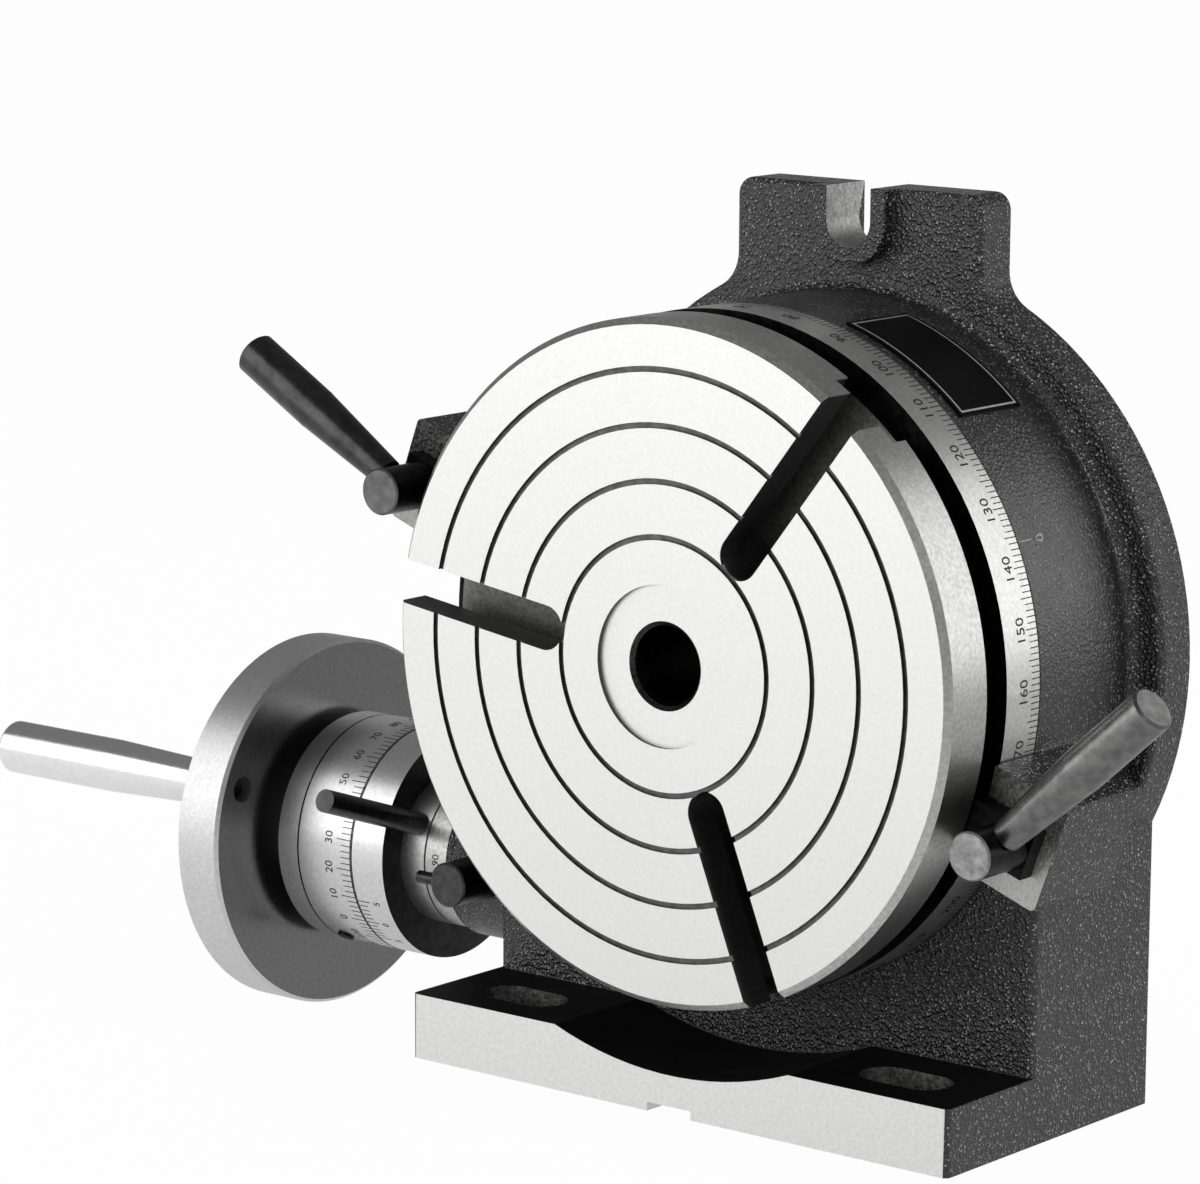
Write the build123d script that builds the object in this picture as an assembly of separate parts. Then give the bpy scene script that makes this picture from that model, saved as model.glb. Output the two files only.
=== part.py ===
"""Horizontal/vertical rotary table, 150 mm class, standing on its vertical foot.

Frame: +Z up, the table face looks along -Y, the worm shaft runs along X.
The origin is the centre of the foot's bottom face. All sizes are millimetres.
Depths along Y are written as a distance behind the table face, heights as a
distance above (+) or below (-) the table axis; place() moves both to the frame.
"""
from build123d import *
from math import asin, atan, atan2, cos, degrees, pi, radians, sin, sqrt, tan
import os

os.makedirs("parts", exist_ok=True)

# ---------------------------------------------------------------- clearances
RUN = 0.05            # radial, shaft in a running bore
THREAD_FIT = 0.04     # radial, screw in its tapped hole
FACE_RUN = 0.06       # axial, faces that turn on each other
HOLE_FREE = 0.3       # radial, a screw or shaft passing through a plain hole
FREE = 0.6            # radial air round a part that must clear
TAP_EXTRA = 1.5       # tapped hole beyond the screw's end
EPS = 0.5             # how far a cutter runs past the face it opens
SINK = 0.5            # how far a block runs into the block it grows from
FAR = 200.0           # length of a cutter that goes right through

# ---------------------------------------------------------------- body casting
CENTRE_HEIGHT = 100.0     # table axis above the foot's bottom face
FOOT_W = 148.0
FOOT_H = 14.9
FOOT_FRONT = 3.6          # foot's front face, behind the table face
FOOT_CORNER_R = 1.5
CAST_EDGE_R = 1.5         # outside corners of the flange, lug and block
CAST_INNER_R = 3.0        # inside corner between drum and flange
BACK = 79.0               # back face of foot and flange
BODY_FRONT = 34.5
DRUM_R = 75.0
DRUM_FRONT = 33.0
FLANGE_R = 82.5
FLANGE_FRONT = 68.0
LUG_W = 67.0
LUG_TOP = 98.0
LUG_CORNER_R = 4.0
LUG_FLANK_R = 9.0
LUG_SLOT_W = 12.0
LUG_SLOT_DROP = 7.4       # from the lug's top to the centre of the slot's round end
LUG_PAD_R = 9.9
LUG_PAD_H = 3.3
FOOT_SLOT_W = 12.0
FOOT_SLOT_L = 22.0        # overall
FOOT_SLOT_X = 53.0
FOOT_SLOT_Y = 18.0
SCALLOP_R = 91.0          # clearance hollow in the foot's top, about the table axis
KEYWAY_W = 12.0
KEYWAY_D = 2.0

# ---------------------------------------------------------------- table
TABLE_R = 75.0
RIM_T = 13.4
GROOVE_W = 7.3
GROOVE_D = 4.3
DEGREE_W = 12.0
TABLE_CHAMFER = 1.5
RING_R = (28.0, 40.0, 52.0, 64.0)
RING_W = 1.3
RING_D = 0.9
RECESS_R = 17.8
RECESS_D = 1.0
MT_R = 8.89               # No. 2 Morse taper, large end radius
MT_TAPER = 0.04995        # on diameter
MT_LEN = 64.0
MT_MOUTH = 0.9            # chamfer at the mouth of the taper
DRAW_R = 7.0              # hole behind the taper, to drive a centre out
TSLOT_ANGLES = (52.0, 172.0, 292.0)
TSLOT_W = 10.0
TSLOT_WIDE = 19.0
TSLOT_LIP = 9.0
TSLOT_DEPTH = 17.0
TSLOT_START_R = 28.0      # inner end of the slot, from the table axis
TSLOT_END_STEP = 0.5      # inner end of the wide part, further out
HUB_R = 50.5
SPIGOT_R = 38.0
JOURNAL_R = 28.0          # table spindle
SPINDLE_THREAD_R = 25.0

# ---------------------------------------------------------------- gear pair
MODULE = 1.25
WHEEL_TEETH = 90
WORM_Q = 13.0             # worm pitch diameter in modules
PRESSURE = 20.0
MESH_CLEAR = 0.25         # tip clearance, in modules
BACKLASH = 0.36           # at the pitch line
WHEEL_FACE = 12.0
WHEEL_FRONT = 50.0
WORM_TURNS = 8
THREAD_SINK = 0.2         # thread's foot below the worm's core surface
CHAMBER_GAP = 2.5         # round and behind the wheel
WHEEL_SCREWS = 6
WHEEL_SCREW_A0 = 30.0
WHEEL_SCREW_PCR = 45.5
SOCKET_R = 2.5            # M5 cap screws
SOCKET_HEAD_R = 4.25
SOCKET_HEAD_H = 5.0
SOCKET_REACH = 10.0       # tapped depth in the table's hub
SOCKET_HEX = 4.0
SOCKET_HEX_D = 2.5
SOCKET_SUNK = 0.5         # head below the wheel's back face

# ---------------------------------------------------------------- spindle end
REAR_BORE_R = 36.0
REAR_BORE_DEPTH = 8.0
WASHER_T = 1.5
WASHER_R = 35.0
NUT_R = 34.5
NUT_T = 5.2
NUT_NOTCH_W = 6.0
NUT_NOTCH_D = 3.0
NUT_NOTCH_ANGLES = (45.0, 135.0, 225.0, 315.0)
GRUB_ANGLES = (90.0, 270.0)
GRUB_R = 2.0              # M4 grub screws
GRUB_L = 7.0
GRUB_HEX = 2.0
GRUB_HEX_D = 2.0

# ---------------------------------------------------------------- eccentric sleeve and worm shaft
ECC = 2.8                 # worm axis from sleeve axis
SLEEVE_R = 15.0
COLLAR_R = 18.0
COLLAR_W = 7.6
NOSE_R = 18.0
NOSE_W = 7.0
BOSS_R = 19.0
BOSS_W = 16.6             # worm boss, out from the body side
SLEEVE_END_X = 45.0
SLEEVE_WALL = 11.0        # closed end that carries the right journal
BORE_BEYOND = 12.0        # blind bore beyond the sleeve's end
WINDOW_GAP = 2.1
WINDOW_MARGIN = 6.0       # degrees, each side of the wheel
ECC_SWING = 90.0
SPIGOT_W = 8.0
SPIGOT_SLEEVE_R = 14.0
JOURNAL_OVER = 0.125      # left journal larger than the worm's tips
RELIEF_D = 0.9            # oil relief in the middle of the left journal
RELIEF_X0 = -78.0
RELIEF_X1 = -50.0
WORM_SMALL_R = 6.0
WORM_END_R = 5.0
WORM_WASHER_R = 8.6
WORM_WASHER_T = 1.4
THRUST_W = 6.5            # thrust collar next to the inner washer
LOCK_NUT_R = 8.6
LOCK_NUT_T = 3.6
LOCK_NOTCH = 1.5
CLAMP_GROOVE_W = 6.4
CLAMP_GROOVE_D = 1.6
TRACK_PLAY = 0.35

# ---------------------------------------------------------------- vernier, dial, handwheel
DIAL_R = 27.3
VERNIER_W = 9.5
VERNIER_GRUBS = (200.0, 320.0)
DIAL_W = 23.0
DIAL_GAP = 0.3
DIAL_LINE_X = 6.0         # scribed line, from the dial's outer face
DIAL_LINE_W = 0.5
DIAL_LINE_D = 0.3
DIAL_BORE_R = 12.0
DIAL_SEAT_SHORT = 1.0     # wheel's spigot ends before the dial's inner face
WHEEL_GAP = 4.2           # dial face to wheel disc
HANDWHEEL_R = 44.3
HANDWHEEL_T = 12.9
HANDWHEEL_CHAMFER = 0.8
HANDWHEEL_HUB_R = 17.0
HANDWHEEL_BOSS_R = 14.0
HANDWHEEL_BOSS_W = 4.0
HANDWHEEL_SHAFT_R = 6.0
HANDWHEEL_THREAD_R = 5.0
HW_WASHER_R = 10.0
HW_WASHER_T = 2.0
HW_NUT_AF = 17.0
HW_NUT_T = 8.0
HW_NUT_CROWN = 0.9        # corners cut back at both ends
SHAFT_STUB = 2.0
SHAFT_SHORT = 0.5         # shaft's shoulder inside the wheel's outer face
KEY_W = 4.0
KEY_H = 4.0
KEY_L = 12.0
DIAL_SCREW_R = 2.0
DIAL_SCREW_X = 10.0
DIAL_SCREW_ANGLE = 238.0
DIAL_SCREW_PROUD = 0.6
SCREW_SUNK = 0.8

# ---------------------------------------------------------------- crank
CRANK_PCR = 37.6
CRANK_ANGLE = 158.8
CRANK_THREAD_R = 3.0
CRANK_THREAD_L = 10.0
CRANK_SPINDLE_R = 4.0
GRIP_L = 62.6
GRIP_CYL = 34.5
GRIP_R = 6.35
GRIP_SMALL_R = 5.3
GRIP_END_R = 0.7
GRIP_GAP = 0.5
CRANK_HEAD_R = 4.9
CRANK_HEAD_H = 3.2
CRANK_HEAD_SUNK = 0.8
CRANK_SLOT_W = 1.2
CRANK_SLOT_D = 1.2

# ---------------------------------------------------------------- table clamps
CLAMP_ANGLES = {"right": -20.0, "left": 160.0}
HANDLE_ANGLES = {"right": 42.2, "left": 149.4}
CLAMP_BOSS_W = 24.6
CLAMP_BOSS_WALL = 8.8     # from the bolt's axis to the outside of the boss
CLAMP_BOSS_ROOT = 8.0     # block's inner end, inside the drum
CLAMP_BOSS_EDGE_R = 1.4
CLAMP_BOSS_FRONT = 18.0
CLAMP_BOSS_BACK = 46.0
CLAMP_HEAD_R = 5.25
CLAMP_RIM_GAP = 5.45       # bolt head to the table's rim
CLAMP_EDGE = 0.4
CLAMP_SHANK_R = 4.0
CLAMP_SHANK_L = 20.0
HANDLE_L = 52.3           # bolt axis to the handle's end
HANDLE_R0 = 3.5           # at the bolt
HANDLE_R1 = 5.0
HANDLE_GRIP_L = 22.0      # plain round length at the outer end
HANDLE_PIN_R = 2.0
HANDLE_PIN_L = 3.5
HANDLE_DEPTH = 8.0
HANDLE_EDGE = 0.6
DOG_W = 11.0
DOG_TIP_GAP = 0.6         # nose to the bottom of the table's groove
DOG_TAIL = 5.4            # from the bolt's axis to the outer end
DOG_GAP = 0.25            # nose to the degree ring, and nose to the casting
DOG_RIM_GAP = 0.5         # dog to the table's rim

# ---------------------------------------------------------------- sleeve clamp, eccentric lever
SCLAMP_X = -79.6
SCLAMP_HEAD_R = 5.2
SCLAMP_FRONT = 22.0
SCLAMP_SHANK_R = 3.0
SCLAMP_SPOT = 0.8
SCLAMP_HEAD_GAP = 0.2
SPIN_R = 1.5
SPIN_OUT = 5.6
SPIN_IN = 4.0
SPIN_DEPTH = 2.6
SPIN_EDGE = 0.3
PAD_T = 1.6
LEVER_R = 2.7
LEVER_OUT = 34.5
LEVER_IN = 5.0
LEVER_TILT = 18.7
LEVER_OFFSET = 3.0
PIN_END_GAP = 0.2         # pins and rods end short of their holes' bottoms

# ---------------------------------------------------------------- nameplate
PLATE_T = 0.5
PLATE_FRONT = 36.0
PLATE_W = 22.0
PLATE_A0 = 46.9
PLATE_A1 = 73.9

# ---------------------------------------------------------------- derived sizes and places
FOOT_MID = (FOOT_FRONT + BACK) / 2
SIDE_X = FOOT_W / 2
LUG_SLOT_Z = LUG_TOP - LUG_SLOT_DROP
GROOVE_R = TABLE_R - GROOVE_D
CLAMP_R = TABLE_R + CLAMP_RIM_GAP + CLAMP_HEAD_R
CLAMP_BOSS_R = CLAMP_R + CLAMP_BOSS_WALL
DOG_TIP_R = GROOVE_R + DOG_TIP_GAP
DOG_TAIL_R = CLAMP_R + DOG_TAIL
LEDGE = RIM_T + GROOVE_W
FLANGE_BACK = LEDGE + DEGREE_W
WHEEL_BACK = WHEEL_FRONT + WHEEL_FACE
WHEEL_PITCH_R = MODULE * WHEEL_TEETH / 2
WHEEL_TIP_R = WHEEL_PITCH_R + MODULE
WORM_PITCH_R = MODULE * WORM_Q / 2
WORM_TIP_R = WORM_PITCH_R + MODULE
DEDENDUM = MODULE * (1 + MESH_CLEAR)
WORM_DEPTH = WHEEL_FRONT + WHEEL_FACE / 2
WORM_Z = -(WHEEL_PITCH_R + WORM_PITCH_R)
LEAD = pi * MODULE
LEAD_ANGLE = degrees(atan(LEAD / (2 * pi * WORM_PITCH_R)))
WORM_L = WORM_TURNS * LEAD
JOURNAL_BIG_R = WORM_TIP_R + JOURNAL_OVER
SLEEVE_DEPTH = WORM_DEPTH - ECC
CHAMBER_R = WHEEL_TIP_R + CHAMBER_GAP
CHAMBER_BACK = WHEEL_BACK + CHAMBER_GAP
WINDOW_X = sqrt(WHEEL_TIP_R ** 2 - (WORM_Z + SLEEVE_R) ** 2) + WINDOW_GAP
REAR_FLOOR = BACK - REAR_BORE_DEPTH
WASHER_FRONT = REAR_FLOOR + FACE_RUN
NUT_FRONT = WASHER_FRONT + WASHER_T + FACE_RUN
NUT_BACK = NUT_FRONT + NUT_T
NUT_MID = (NUT_FRONT + NUT_BACK) / 2
SHOULDER_X = SLEEVE_END_X - SLEEVE_WALL
INNER_WASHER_X = SHOULDER_X - WORM_WASHER_T - FACE_RUN / 2
OUTER_WASHER_X = SLEEVE_END_X + FACE_RUN
LOCK_X = OUTER_WASHER_X + WORM_WASHER_T
BOSS_X = -SIDE_X - BOSS_W
NOSE_X = BOSS_X - NOSE_W
COLLAR_X = NOSE_X - FACE_RUN - COLLAR_W
SPIGOT_X = COLLAR_X - SPIGOT_W
VERNIER_X = COLLAR_X - VERNIER_W
DIAL_END_X = VERNIER_X - DIAL_GAP
DIAL_X = DIAL_END_X - DIAL_W
DISC_X = DIAL_X - WHEEL_GAP
OUTER_X = DISC_X - HANDWHEEL_T
HUB_X = OUTER_X - HANDWHEEL_BOSS_W
GRIP_X = OUTER_X - GRIP_L
CRANK_Y = WORM_DEPTH + CRANK_PCR * cos(radians(CRANK_ANGLE))
CRANK_Z = WORM_Z + CRANK_PCR * sin(radians(CRANK_ANGLE))
DOG_FRONT = RIM_T + DOG_RIM_GAP
TRACK_FLOOR_R = SLEEVE_R - CLAMP_GROOVE_D
PAD_BACK = SLEEVE_DEPTH - TRACK_FLOOR_R - FACE_RUN


# ---------------------------------------------------------------- shape helpers
def cyl_x(r, x0, x1, depth=WORM_DEPTH, z=WORM_Z):
    """Cylinder along X between x0 and x1, on the worm's axis unless told otherwise."""
    return Pos((x0 + x1) / 2, depth, z) * Rot(0, 90, 0) * Cylinder(r, abs(x1 - x0))


def cyl_y(r, y0, y1, x=0.0, z=0.0):
    """Cylinder along Y between two depths, on the table's axis unless told otherwise."""
    return Pos(x, (y0 + y1) / 2, z) * Rot(90, 0, 0) * Cylinder(r, abs(y1 - y0))


def box(x0, x1, y0, y1, z0, z1):
    """Box between two corners."""
    return Pos((x0 + x1) / 2, (y0 + y1) / 2, (z0 + z1) / 2) * Box(x1 - x0, y1 - y0, z1 - z0)


def cone_x(r0, r1, x0, x1, depth=0.0, z=0.0):
    """Cone along X, radius r0 at x0 and r1 at x1."""
    return Pos((x0 + x1) / 2, depth, z) * Rot(0, 90, 0) * Cone(r0, r1, x1 - x0)


def cone_y(r0, r1, y0, y1):
    """Cone on the table's axis, radius r0 at depth y0 and r1 at depth y1."""
    return Pos(0, (y0 + y1) / 2, 0) * Rot(-90, 0, 0) * Cone(r0, r1, y1 - y0)


def hexagon(af, length):
    """Hexagonal prism from the origin up."""
    return extrude(RegularPolygon(af / 2, 6, major_radius=False), length)


def about_y(angle):
    """Turn counter-clockwise as seen from the front, angles from +X."""
    return Rot(0, -angle, 0)


def sector_x(r, x0, x1, a0, a1):
    """Pie piece about the sleeve's axis, angles from +Y towards +Z."""
    steps = 12
    pts = [(SLEEVE_DEPTH, WORM_Z)]
    for k in range(steps + 1):
        a = radians(a0 + (a1 - a0) * k / steps)
        pts.append((SLEEVE_DEPTH + r * cos(a), WORM_Z + r * sin(a)))
    return Pos(x0, 0, 0) * extrude(Plane.YZ * Polygon(*pts, align=None), x1 - x0)


def front_edge(shape):
    """The circle nearest the front."""
    return shape.edges().filter_by(GeomType.CIRCLE).sort_by(Axis.Y)[0]


def place(shape):
    """Move from the table-face frame to the part's frame."""
    return Pos(0, -FOOT_MID, CENTRE_HEIGHT) * shape


def save(name, *shapes):
    """Write one node. Several solids stay separate solids of one compound."""
    solids = [solid for shape in shapes for solid in place(shape).solids()]
    export_step(solids[0] if len(solids) == 1 else Compound(children=solids), f"parts/{name}.step")


# ---------------------------------------------------------------- base casting
def clamp_boss():
    """One radial boss block, drawn on +X and turned into place later."""
    half = CLAMP_BOSS_W / 2
    block = box(DRUM_R - CLAMP_BOSS_ROOT, CLAMP_BOSS_R, CLAMP_BOSS_FRONT, CLAMP_BOSS_BACK, -half, half)
    outer = block.edges().filter_by(Axis.Y).sort_by(Axis.X)[-2:]
    return fillet(outer, CLAMP_BOSS_EDGE_R)


def foot_and_block():
    """Foot plate with its scallop, and the block that rises from it to the drum."""
    foot = box(-SIDE_X, SIDE_X, FOOT_FRONT, BACK, -CENTRE_HEIGHT, -CENTRE_HEIGHT + FOOT_H)
    foot = fillet(foot.edges().filter_by(Axis.Z).group_by(Axis.Y)[0], FOOT_CORNER_R)
    foot -= cyl_y(SCALLOP_R, FOOT_FRONT - EPS, BODY_FRONT)
    top = -sqrt(max(DRUM_R ** 2 - SIDE_X ** 2, 1.0))
    block = box(-SIDE_X, SIDE_X, BODY_FRONT, BACK, -CENTRE_HEIGHT + FOOT_H - SINK, top)
    block = fillet(block.edges().filter_by(Axis.Z).group_by(Axis.Y)[0], CAST_EDGE_R)
    return foot + block


def flange_and_lug():
    """Rear flange with the slotted lug on top, and the raised pad round the slot."""
    plate = cyl_y(FLANGE_R, FLANGE_FRONT, BACK)
    plate += box(-LUG_W / 2, LUG_W / 2, FLANGE_FRONT, BACK, 0, LUG_TOP)
    upright = plate.edges().filter_by(Axis.Y)
    flank = [e for e in upright if abs(abs(e.center().X) - LUG_W / 2) < EPS and 0 < e.center().Z < FLANGE_R]
    plate = fillet(flank, LUG_FLANK_R)
    corners = [e for e in plate.edges().filter_by(Axis.Y) if e.center().Z > LUG_TOP - EPS]
    plate = fillet(corners, LUG_CORNER_R)
    plate = fillet(plate.faces().sort_by(Axis.Y)[0].edges(), CAST_EDGE_R)
    pad_front = FLANGE_FRONT - LUG_PAD_H
    pad = cyl_y(LUG_PAD_R, pad_front, FLANGE_FRONT + SINK, z=LUG_SLOT_Z)
    pad &= box(-LUG_PAD_R, LUG_PAD_R, pad_front, BACK, 0, LUG_SLOT_Z)
    pad += box(-LUG_PAD_R, LUG_PAD_R, pad_front, FLANGE_FRONT + SINK, LUG_SLOT_Z, LUG_TOP)
    plate += pad
    plate -= cyl_y(LUG_SLOT_W / 2, pad_front - EPS, BACK + EPS, z=LUG_SLOT_Z)
    half = LUG_SLOT_W / 2
    return plate - box(-half, half, pad_front - EPS, BACK + EPS, LUG_SLOT_Z, LUG_TOP + EPS)


def drum():
    """Round housing, with the hollow corner where it meets the flange filled by a fillet."""
    corner = DRUM_R + CAST_INNER_R
    shape = cyl_y(DRUM_R, DRUM_FRONT, FLANGE_FRONT) + cyl_y(corner, FLANGE_FRONT - CAST_INNER_R, FLANGE_FRONT)
    ring = Torus(corner, CAST_INNER_R)
    return shape - Pos(0, FLANGE_FRONT - CAST_INNER_R, 0) * Rot(90, 0, 0) * ring


def base_casting():
    body = foot_and_block() + drum() + flange_and_lug()
    body += cyl_x(BOSS_R, BOSS_X, -SIDE_X + SINK, SLEEVE_DEPTH)
    body += cyl_x(NOSE_R, NOSE_X, BOSS_X + SINK, SLEEVE_DEPTH)
    for angle in CLAMP_ANGLES.values():
        body += about_y(angle) * clamp_boss()
    # room for the table flange in front of the drum
    body -= cyl_y(TABLE_R + FREE, 0, DRUM_FRONT)
    # gear chamber, spindle bore, rear counterbore, eccentric sleeve bore
    body -= cyl_y(CHAMBER_R, DRUM_FRONT - EPS, CHAMBER_BACK)
    body -= cyl_y(JOURNAL_R + RUN, CHAMBER_BACK - EPS, BACK + EPS)
    body -= cyl_y(REAR_BORE_R, REAR_FLOOR, BACK + EPS)
    body -= cyl_x(SLEEVE_R + RUN, NOSE_X - EPS, SLEEVE_END_X + BORE_BEYOND, SLEEVE_DEPTH)
    # foot slots, keyways under the foot and down the back
    for side in (-1, 1):
        slot = extrude(SlotOverall(FOOT_SLOT_L, FOOT_SLOT_W), FOOT_H + 2 * EPS)
        body -= Pos(side * FOOT_SLOT_X, FOOT_SLOT_Y, -CENTRE_HEIGHT - EPS) * slot
    key = KEYWAY_W / 2
    bottom = -CENTRE_HEIGHT - EPS
    body -= box(-key, key, FOOT_FRONT - EPS, BACK + EPS, bottom, -CENTRE_HEIGHT + KEYWAY_D)
    body -= box(-key, key, BACK - KEYWAY_D, BACK + EPS, bottom, LUG_TOP + EPS)
    # tapped holes for the clamp bolts and the sleeve clamp screw
    hole_end = CLAMP_BOSS_FRONT + CLAMP_SHANK_L + TAP_EXTRA
    for angle in CLAMP_ANGLES.values():
        body -= about_y(angle) * cyl_y(CLAMP_SHANK_R + THREAD_FIT, CLAMP_BOSS_FRONT - EPS, hole_end, CLAMP_R)
    boss_front = SLEEVE_DEPTH - BOSS_R
    body -= cyl_y(SCLAMP_HEAD_R + FREE, boss_front - EPS, boss_front + SCLAMP_SPOT, SCLAMP_X, WORM_Z)
    return body - cyl_y(SCLAMP_SHANK_R + THREAD_FIT, boss_front - EPS, PAD_BACK, SCLAMP_X, WORM_Z)


def nameplate():
    """Thin curved plate on the drum's upper right."""
    plate = cyl_y(DRUM_R + PLATE_T, PLATE_FRONT, PLATE_FRONT + PLATE_W)
    plate -= cyl_y(DRUM_R, PLATE_FRONT - EPS, PLATE_FRONT + PLATE_W + EPS)
    half = radians((PLATE_A1 - PLATE_A0) / 2)
    reach = 2 * DRUM_R
    wedge = Polygon((0, 0), (reach, -reach * tan(half)), (reach, reach * tan(half)), align=None)
    wedge = Pos(0, PLATE_FRONT - EPS, 0) * Rot(90, 0, 0) * extrude(wedge, -PLATE_W - 2 * EPS)
    return plate & (about_y((PLATE_A0 + PLATE_A1) / 2) * wedge)


# ---------------------------------------------------------------- table
def tslot():
    """One T-slot cutter along +X."""
    out = TABLE_R + FREE
    start = TSLOT_START_R + TSLOT_W / 2
    wide = TSLOT_START_R + TSLOT_WIDE / 2 + TSLOT_END_STEP
    cut = cyl_y(TSLOT_W / 2, -EPS, TSLOT_DEPTH, x=start)
    cut += box(start, out, -EPS, TSLOT_DEPTH, -TSLOT_W / 2, TSLOT_W / 2)
    cut += cyl_y(TSLOT_WIDE / 2, TSLOT_LIP, TSLOT_DEPTH, x=wide)
    return cut + box(wide, out, TSLOT_LIP, TSLOT_DEPTH, -TSLOT_WIDE / 2, TSLOT_WIDE / 2)


def wheel_screw_turns():
    return [about_y(WHEEL_SCREW_A0 + 360 / WHEEL_SCREWS * k) for k in range(WHEEL_SCREWS)]


def table_disc():
    disc = cyl_y(TABLE_R, 0, RIM_T)
    disc = chamfer(front_edge(disc), TABLE_CHAMFER)
    disc += cyl_y(GROOVE_R, RIM_T - SINK, LEDGE + SINK)
    disc += cyl_y(TABLE_R, LEDGE, FLANGE_BACK)
    disc += cyl_y(HUB_R, FLANGE_BACK - SINK, WHEEL_FRONT)
    disc += cyl_y(SPIGOT_R, WHEEL_FRONT - SINK, WHEEL_BACK)
    disc += cyl_y(JOURNAL_R, WHEEL_BACK - SINK, REAR_FLOOR)
    disc += cyl_y(SPINDLE_THREAD_R, REAR_FLOOR - SINK, NUT_BACK)
    for r in RING_R:
        disc -= cyl_y(r + RING_W / 2, -EPS, RING_D) - cyl_y(r - RING_W / 2, -2 * EPS, RING_D + EPS)
    disc -= cyl_y(RECESS_R, -EPS, RECESS_D)
    disc -= cone_y(MT_R, MT_R - MT_LEN * MT_TAPER / 2, RECESS_D, RECESS_D + MT_LEN)
    disc -= cone_y(MT_R + MT_MOUTH + EPS, MT_R, RECESS_D - EPS, RECESS_D + MT_MOUTH)
    disc -= cyl_y(DRAW_R, RECESS_D, NUT_BACK + EPS)
    for angle in TSLOT_ANGLES:
        disc -= about_y(angle) * tslot()
    for turn in wheel_screw_turns():
        hole = cyl_y(SOCKET_R + THREAD_FIT, WHEEL_FRONT - SOCKET_REACH, WHEEL_FRONT + EPS, WHEEL_SCREW_PCR)
        disc -= turn * hole
    return disc


def worm_wheel():
    """Ring with straight-flanked teeth cut at the worm's lead angle."""
    root = WHEEL_PITCH_R - DEDENDUM
    beyond = WHEEL_TIP_R + EPS
    ring = cyl_y(WHEEL_TIP_R, WHEEL_FRONT, WHEEL_BACK)
    ring -= cyl_y(SPIGOT_R + RUN, WHEEL_FRONT - EPS, WHEEL_BACK + EPS)
    half = LEAD / 4 + BACKLASH / 4
    slope = tan(radians(PRESSURE))
    low = half - slope * (WHEEL_PITCH_R - root)
    high = half + slope * (beyond - WHEEL_PITCH_R)
    gap = Polygon((-low, -root), (low, -root), (high, -beyond), (-high, -beyond), align=None)
    cutter = Rot(90, 0, 0) * extrude(gap, WHEEL_FACE, both=True)
    cutter = Pos(0, WORM_DEPTH, 0) * Rot(0, 0, LEAD_ANGLE) * cutter
    # a tooth, not a gap, stands over the worm's axis
    ring -= [about_y(360 / WHEEL_TEETH * (k + 0.5)) * cutter for k in range(WHEEL_TEETH)]
    head_floor = WHEEL_BACK - SOCKET_SUNK - SOCKET_HEAD_H
    for turn in wheel_screw_turns():
        ring -= turn * cyl_y(SOCKET_R + RUN, WHEEL_FRONT - EPS, WHEEL_BACK, WHEEL_SCREW_PCR)
        ring -= turn * cyl_y(SOCKET_HEAD_R + RUN, head_floor, WHEEL_BACK + EPS, WHEEL_SCREW_PCR)
    return ring


def wheel_screw():
    head_back = WHEEL_BACK - SOCKET_SUNK
    head_front = head_back - SOCKET_HEAD_H
    tip = WHEEL_FRONT - SOCKET_REACH + TAP_EXTRA
    screw = cyl_y(SOCKET_HEAD_R, head_front, head_back, WHEEL_SCREW_PCR)
    screw += cyl_y(SOCKET_R, tip, head_front + SINK, WHEEL_SCREW_PCR)
    return screw - Pos(WHEEL_SCREW_PCR, head_back - SOCKET_HEX_D, 0) * Rot(-90, 0, 0) * hexagon(SOCKET_HEX, FAR)


def spindle_washer():
    ring = cyl_y(WASHER_R, WASHER_FRONT, WASHER_FRONT + WASHER_T)
    return ring - cyl_y(SPINDLE_THREAD_R + HOLE_FREE, WASHER_FRONT - EPS, BACK)


def spindle_nut():
    nut = cyl_y(NUT_R, NUT_FRONT, NUT_BACK)
    nut -= cyl_y(SPINDLE_THREAD_R + THREAD_FIT, NUT_FRONT - EPS, NUT_BACK + EPS)
    for angle in GRUB_ANGLES:
        nut -= about_y(angle) * cyl_x(GRUB_R + THREAD_FIT, SPINDLE_THREAD_R - EPS, NUT_R + EPS, NUT_MID, 0)
    half = NUT_NOTCH_W / 2
    for angle in NUT_NOTCH_ANGLES:
        notch = box(NUT_R - NUT_NOTCH_D, NUT_R + EPS, NUT_BACK - NUT_NOTCH_D, NUT_BACK + EPS, -half, half)
        nut -= about_y(angle) * notch
    return nut


def nut_grub():
    start = SPINDLE_THREAD_R + THREAD_FIT
    grub = cyl_x(GRUB_R, start, start + GRUB_L, NUT_MID, 0)
    socket = Pos(start + GRUB_L - GRUB_HEX_D, NUT_MID, 0) * Rot(0, 90, 0) * hexagon(GRUB_HEX, GRUB_L)
    return grub - socket


# ---------------------------------------------------------------- worm and sleeve
def worm_thread():
    """Trapezium swept along the helix, with a thread space over the middle of its length."""
    start = WORM_PITCH_R - DEDENDUM - THREAD_SINK
    half = LEAD / 4 - BACKLASH / 4
    slope = tan(radians(PRESSURE))
    wide = half + slope * (WORM_PITCH_R - start)
    thin = half - slope * (WORM_TIP_R - WORM_PITCH_R)
    tooth = Polygon((start, -wide), (WORM_TIP_R, -thin), (WORM_TIP_R, thin), (start, wide), align=None)
    thread = sweep(Plane.XZ * tooth, Helix(LEAD, WORM_L, start), is_frenet=True)
    return Pos(-WORM_L / 2, WORM_DEPTH, WORM_Z) * Rot(0, 90, 0) * thread


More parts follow.
